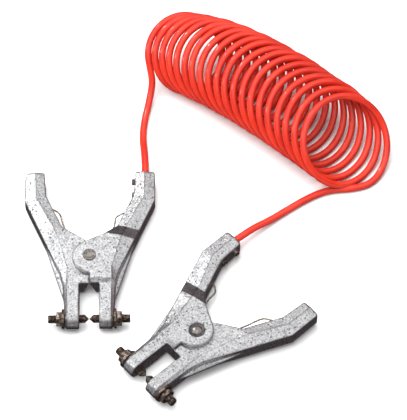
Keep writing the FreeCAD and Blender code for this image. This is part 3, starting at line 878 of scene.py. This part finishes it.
@dataclass
class PivotRivet:
    """Turned rivet: a flat head with rings and a dimple, and a peened dome."""

    place: ClampPlace
    head_face: float = 12.4 * MM
    head_base: float = 11.2 * MM
    head: float = 6.1 * MM
    chamfer: float = 0.4 * MM
    ring: float = 4.5 * MM
    ring_depth: float = 0.5 * MM
    dimple: float = 2.9 * MM
    dimple_depth: float = 0.8 * MM
    edge: float = 0.12 * MM
    shank: float = 4.0 * MM
    dome_base: float = -10.1 * MM
    dome: float = 4.9 * MM
    dome_height: float = 1.7 * MM
    around: int = 72
    dome_steps: int = 8

    def _profile(self) -> list[tuple[float, float]]:
        """Radius and height pairs, from the middle of the head to the middle of the dome."""
        top, low = self.head_face, self.head_face - self.dimple_depth
        edge = self.edge
        profile = [(0.0, low), (self.dimple - 2 * edge, low), (self.dimple - edge, low + edge),
                   (self.dimple - edge, top - edge), (self.dimple, top)]
        profile += [(self.ring - 2 * edge, top), (self.ring, top - self.ring_depth),
                    (self.ring + 2 * edge, top)]
        profile += [(self.head - self.chamfer, top), (self.head, top - self.chamfer),
                    (self.head, self.head_base), (self.shank, self.head_base)]
        profile += [(self.shank, self.dome_base), (self.dome, self.dome_base)]
        for index in range(1, self.dome_steps + 1):
            angle = math.pi / 2 * index / self.dome_steps
            profile.append((self.dome * math.cos(angle),
                            self.dome_base - self.dome_height * math.sin(angle)))
        return profile

    def build(self, palette: Palette) -> bpy.types.Object:
        """Make the rivet.

        Args:
            palette: The finishes.

        Returns:
            The rivet.
        """
        node = f"{self.place.side}_pivot_rivet"
        work = bmesh.new()
        line = [work.verts.new((radius, 0.0, height)) for radius, height in self._profile()]
        edges = [work.edges.new(pair) for pair in zip(line, line[1:])]
        bmesh.ops.spin(work, geom=line + edges, cent=(0, 0, 0), axis=(0, 0, 1),
                       angle=2 * math.pi, steps=self.around, use_merge=True)
        bmesh.ops.remove_doubles(work, verts=work.verts, dist=WELD_DISTANCE)
        bmesh.ops.recalc_face_normals(work, faces=work.faces)
        work.transform(self.place.matrix)
        mesh = bpy.data.meshes.new(node)
        work.to_mesh(mesh)
        work.free()
        piece = add_object(f"{node}_turned", mesh)
        palette.paint(piece, Surface.PLATED)
        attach(piece, FIXED_BODY)
        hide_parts(node)
        return piece


@dataclass
class TorsionSpring:
    """Spring wound round the pivot, with a leg against each handle."""

    place: ClampPlace
    wire: float = 0.8 * MM
    coil_radius: float = 6.9 * MM
    pitch: float = 1.7 * MM
    turns: float = 4.362
    leave: float = -24.86
    cable_leg: tuple[tuple[float, float], ...] = (
        (22.9, 33.0), (23.3, 42.0), (25.3, 46.6), (31.9, 49.6))
    plain_leg: tuple[tuple[float, float], ...] = (
        (22.9, 33.0), (26.7, 50.5), (29.4, 56.6), (36.5, 60.0))
    per_turn: int = 14
    blend_reach: float = 5.0 * MM

    def _line(self) -> list[Vector]:
        """Control points from the plain handle, round the coil, to the other one."""
        half = self.turns * self.pitch / 2
        cable_leg = [Vector((x * MM, y * MM, half)) for x, y in self.cable_leg]
        plain_leg = [Vector((-x * MM, y * MM, -half)) for x, y in reversed(self.plain_leg)]
        count = round(self.turns * self.per_turn)
        radius = self.coil_radius / math.cos(math.pi / self.per_turn)
        first = math.radians(180 - self.leave)
        coil = []
        for index in range(count + 1):
            share = index / count
            angle = first + share * self.turns * 2 * math.pi
            coil.append(Vector((radius * math.cos(angle), radius * math.sin(angle),
                                half * (2 * share - 1))))
        return [self.place.matrix @ point for point in plain_leg + coil + cable_leg]

    def build(self, palette: Palette) -> bpy.types.Object:
        """Make the spring, bending between the two halves.

        Args:
            palette: The finishes.

        Returns:
            The spring.
        """
        name = f"{self.place.side}_torsion_spring"
        piece = add_object(f"{name}_wire", tube_mesh(self._line(), self.wire, name))
        palette.paint(piece, Surface.WIRE)
        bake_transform(piece, FIXED_BODY, self.place.body(Half.PLAIN),
                 start=self.place.point(self.blend_reach, 0),
                 end=self.place.point(-self.blend_reach, 0))
        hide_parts(name)
        return piece


@dataclass
class Clamp:
    """One hand clamp with all its pieces."""

    place: ClampPlace

    def _steel(self, name: str, half: Half) -> SoftenedPart:
        """A dark steel piece that is taken from its CAD node."""
        return SoftenedPart(f"{self.place.side}_{name}", self.place.body(half),
                            Surface.DARK_STEEL, "dark_steel")

    def build(self, palette: Palette) -> list[bpy.types.Object]:
        """Make and dress every piece.

        Args:
            palette: The finishes.

        Returns:
            The pieces that replace CAD nodes.
        """
        side = self.place.side
        parts: list[Union[Casting, ContactScrew, SoftenedPart, PivotRivet, TorsionSpring]] = []
        for half in Half:
            parts += [Casting(self.place, half), ContactScrew(self.place, half),
                      self._steel(f"{half.value}_half_lock_nut", half),
                      self._steel(f"{half.value}_half_washer", half)]
        parts += [PivotRivet(self.place), self._steel("cable_set_screws", Half.CABLE),
                  TorsionSpring(self.place)]
        pieces = [part.build(palette) for part in parts]
        palette.paint(bpy.data.objects[f"{side}_spring_sleeve"], Surface.PLATED)
        palette.paint(bpy.data.objects[f"{side}_cable_end"], Surface.JACKET)
        return pieces


# ------------------------------------------------------------------ studio
DARK: Colour = (0.035, 0.022, 0.024)
WALL: Colour = (0.42, 0.42, 0.43)
PALE: Colour = (1.0, 1.0, 1.0)


@dataclass
class Lamp:
    """A soft rectangular lamp aimed at the object."""

    name: str
    place: Point
    size: tuple[float, float]
    power: float
    mirrored: bool = True
    aim: Point = (0.03, 0.08, 0.0)

    def build(self) -> None:
        """Make the lamp."""
        light = bpy.data.lights.new(self.name, "AREA")
        light.shape = "RECTANGLE"
        light.size, light.size_y = self.size
        light.energy = self.power
        lamp = add_object(self.name, light)
        lamp.location = self.place
        aim = Vector(self.aim) - Vector(self.place)
        lamp.rotation_euler = aim.to_track_quat("-Z", "Y").to_euler()
        lamp.visible_glossy = self.mirrored


@dataclass
class Studio:
    """Floor, soft light and camera.

    The room's colours are given at heights from 0, straight down, to 1,
    straight up.
    """

    look_at: Point = (31.6 * MM, 84.05 * MM, 12.0 * MM)
    distance: float = 2.544
    elevation: float = 57.1
    lens: float = 234.5
    sensor: float = 36.0
    clip: tuple[float, float] = (0.05, 50.0)
    floor_size: float = 8.0
    lamps: tuple[Lamp, ...] = (
        Lamp("overhead", (-0.3, 0.2, 1.5), (1.6, 1.2), 40.0, False),
        Lamp("key", (-0.7, 0.9, 1.3), (0.14, 0.14), 3.5),
        Lamp("low_key", (-1.3, -0.1, 0.9), (0.10, 0.30), 2.5),
        Lamp("front", (-0.6, -1.6, 0.9), (1.0, 0.6), 5.0, False))
    room: tuple[tuple[float, Colour], ...] = (
        (0.20, DARK), (0.32, WALL), (0.52, WALL), (0.62, DARK), (0.74, DARK), (0.84, PALE))
    glow: float = 0.88

    def _floor(self, palette: Palette) -> None:
        """Make the pale floor."""
        bpy.ops.mesh.primitive_grid_add(x_subdivisions=4, y_subdivisions=4,
                                        size=self.floor_size)
        floor = bpy.context.object
        floor.name = "floor"
        floor.visible_glossy = False
        palette.paint(floor, Surface.FLOOR)

    def _camera(self) -> None:
        """Make the camera."""
        data = bpy.data.cameras.new("camera")
        data.lens = self.lens
        data.sensor_width = self.sensor
        data.clip_start, data.clip_end = self.clip
        camera = add_object("camera", data)
        lift = math.radians(self.elevation)
        back = Vector((0.0, -math.cos(lift), math.sin(lift)))
        camera.location = Vector(self.look_at) + back * self.distance
        camera.rotation_euler = (math.pi / 2 - lift, 0.0, 0.0)
        bpy.context.scene.camera = camera

    def _world(self) -> None:
        """Fill the room with soft light: a pale ceiling, dim walls and dark between them."""
        shader = Shader(bpy.data.worlds.new("room"))
        direction = shader.node("ShaderNodeTexCoord", output="Generated")
        height = shader.node("ShaderNodeSeparateXYZ", {}, {0: direction}, "Z")
        colour = shader.node("ShaderNodeValToRGB", {"stops": self.room}, {0: height * 0.5 + 0.5})
        bpy.context.scene.world = shader.finish("Background", Color=colour, Strength=self.glow)

    def build(self, palette: Palette) -> None:
        """Make the whole studio.

        Args:
            palette: The finishes.
        """
        bpy.context.scene.view_settings.view_transform = "Standard"
        self._floor(palette)
        self._camera()
        self._world()
        for lamp in self.lamps:
            lamp.build()


def main() -> None:
    """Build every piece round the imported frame."""
    logging.basicConfig(level=logging.INFO, format="%(name)s %(message)s")
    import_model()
    palette = Palette()
    cable = CoiledCable().build(palette)
    LOG.info("%s: %d control points", cable.name, len(cable.data.splines[0].points))
    for place in (LEFT, RIGHT):
        for piece in Clamp(place).build(palette):
            LOG.info("%s: %d faces", piece.name, len(piece.data.polygons))
    Studio().build(palette)


if __name__ == "__main__":
    main()
